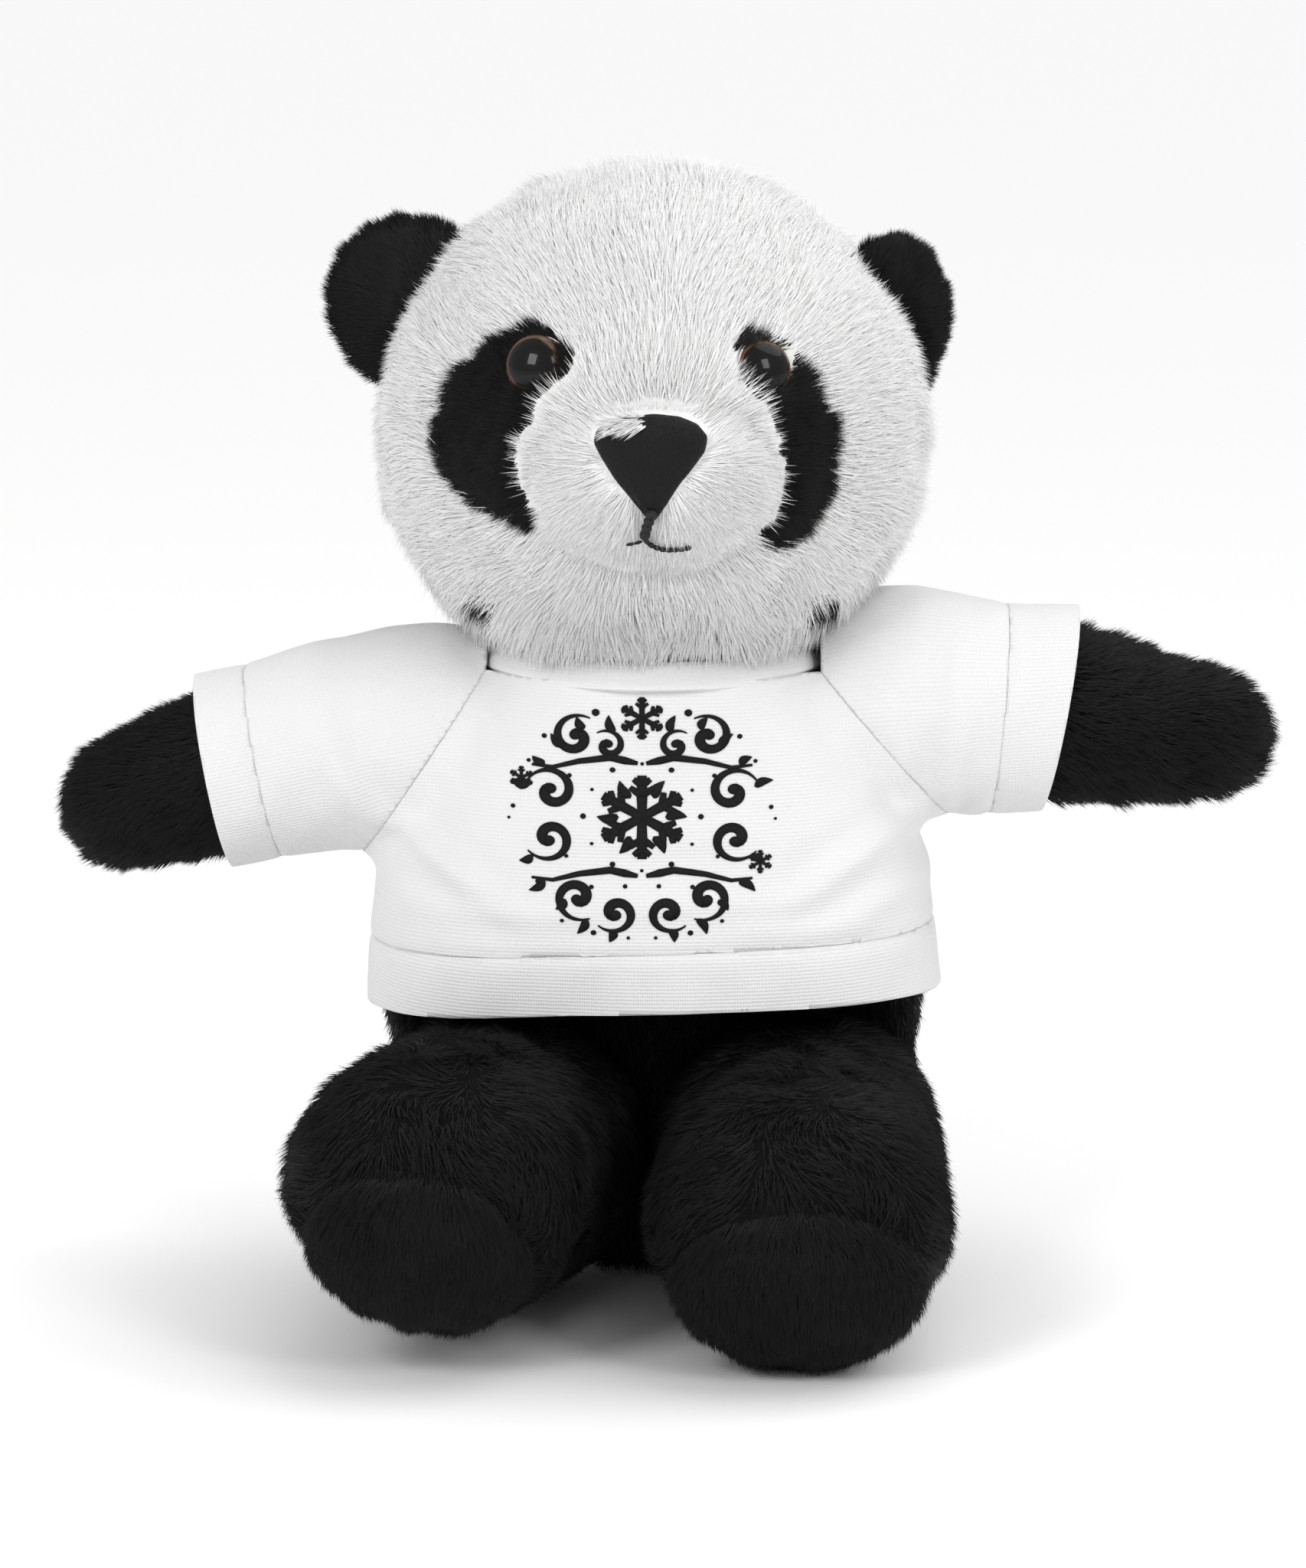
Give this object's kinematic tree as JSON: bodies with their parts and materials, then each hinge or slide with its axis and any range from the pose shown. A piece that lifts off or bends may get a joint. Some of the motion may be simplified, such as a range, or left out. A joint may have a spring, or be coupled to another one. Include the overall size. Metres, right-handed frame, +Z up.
{
  "type": "plush panda",
  "caption": "Soft plush panda sitting with its legs forward, in a white T-shirt; the head turns and nods, and the arms and legs swing.",
  "frame": {"origin": "on the surface that the panda sits on, below the middle of its body", "axes": "+Z up, -Y the way the panda faces, +X towards its left hand"},
  "size_m": [0.2478, 0.1525, 0.234],
  "materials": {
    "black_plush": "black plush fabric, dense short pile, matte",
    "white_plush": "white plush fabric, longer soft pile, matte",
    "stuffing": "polyester fibre stuffing",
    "jersey": "white cotton jersey, fine knit, matte",
    "jersey_rib": "white cotton jersey folded double, with a line of stitching",
    "nose_cloth": "smooth black short-nap fabric over padding",
    "mouth_thread": "black embroidery thread",
    "eye_plastic": "clear domed plastic over a brown ring and a black pupil",
    "washer_plastic": "white plastic lock washer"
  },
  "bodies": {
    "torso": {"body_front": "black_plush", "body_back": "black_plush", "seat_panel": "black_plush", "body_fill": "stuffing", "shirt_front": "jersey", "shirt_back": "jersey", "neckband": "jersey_rib", "hem_band": "jersey_rib"},
    "neck": {"neck_fill": "stuffing"},
    "head": {"face_panel": "white_plush", "head_back": "white_plush", "head_fill": "stuffing", "muzzle": "white_plush", "muzzle_fill": "stuffing", "nose": "nose_cloth", "mouth": "mouth_thread", "patch_left": "black_plush", "patch_right": "black_plush", "eye_left": "eye_plastic", "eye_right": "eye_plastic", "washer_left": "washer_plastic", "washer_right": "washer_plastic", "ear_left_front": "black_plush", "ear_left_back": "black_plush", "ear_right_front": "black_plush", "ear_right_back": "black_plush"},
    "arm_left": {"arm_left_front": "black_plush", "arm_left_back": "black_plush", "arm_left_fill": "stuffing", "sleeve_left": "jersey", "cuff_left": "jersey_rib"},
    "arm_right": {"arm_right_front": "black_plush", "arm_right_back": "black_plush", "arm_right_fill": "stuffing", "sleeve_right": "jersey", "cuff_right": "jersey_rib"},
    "hip_left": {"hip_left_fill": "stuffing"},
    "leg_left": {"leg_left": "black_plush", "foot_left": "black_plush", "leg_left_fill": "stuffing"},
    "hip_right": {"hip_right_fill": "stuffing"},
    "leg_right": {"leg_right": "black_plush", "foot_right": "black_plush", "leg_right_fill": "stuffing"}
  },
  "joints": [
    {"name": "neck_turn", "type": "hinge", "parent": "torso", "child": "neck", "pos_m": [0, 0, 0.108], "axis": [0, 0, 1], "range_deg": [-35, 35]},
    {"name": "neck_nod", "type": "hinge", "parent": "neck", "child": "head", "pos_m": [0, 0, 0.108], "axis": [1, 0, 0], "range_deg": [-10, 12]},
    {"name": "shoulder_left", "type": "hinge", "parent": "torso", "child": "arm_left", "pos_m": [0.052, 0, 0.114], "axis": [0, -1, 0], "range_deg": [-37, 39]},
    {"name": "shoulder_right", "type": "hinge", "parent": "torso", "child": "arm_right", "pos_m": [-0.052, 0, 0.114], "axis": [0, 1, 0], "range_deg": [-21, 55]},
    {"name": "hip_turn_left", "type": "hinge", "parent": "torso", "child": "hip_left", "pos_m": [0.0305, -0.016, 0.0295], "axis": [0, 0, 1], "range_deg": [0, 28]},
    {"name": "hip_lift_left", "type": "hinge", "parent": "hip_left", "child": "leg_left", "pos_m": [0.0305, -0.016, 0.0295], "axis": [-0.9994, 0.0349, 0], "range_deg": [0, 10]},
    {"name": "hip_turn_right", "type": "hinge", "parent": "torso", "child": "hip_right", "pos_m": [-0.0305, -0.016, 0.0295], "axis": [0, 0, -1], "range_deg": [-10, 18]},
    {"name": "hip_lift_right", "type": "hinge", "parent": "hip_right", "child": "leg_right", "pos_m": [-0.0305, -0.016, 0.0295], "axis": [-0.9848, 0.1736, 0], "range_deg": [-4, 6]}
  ]
}
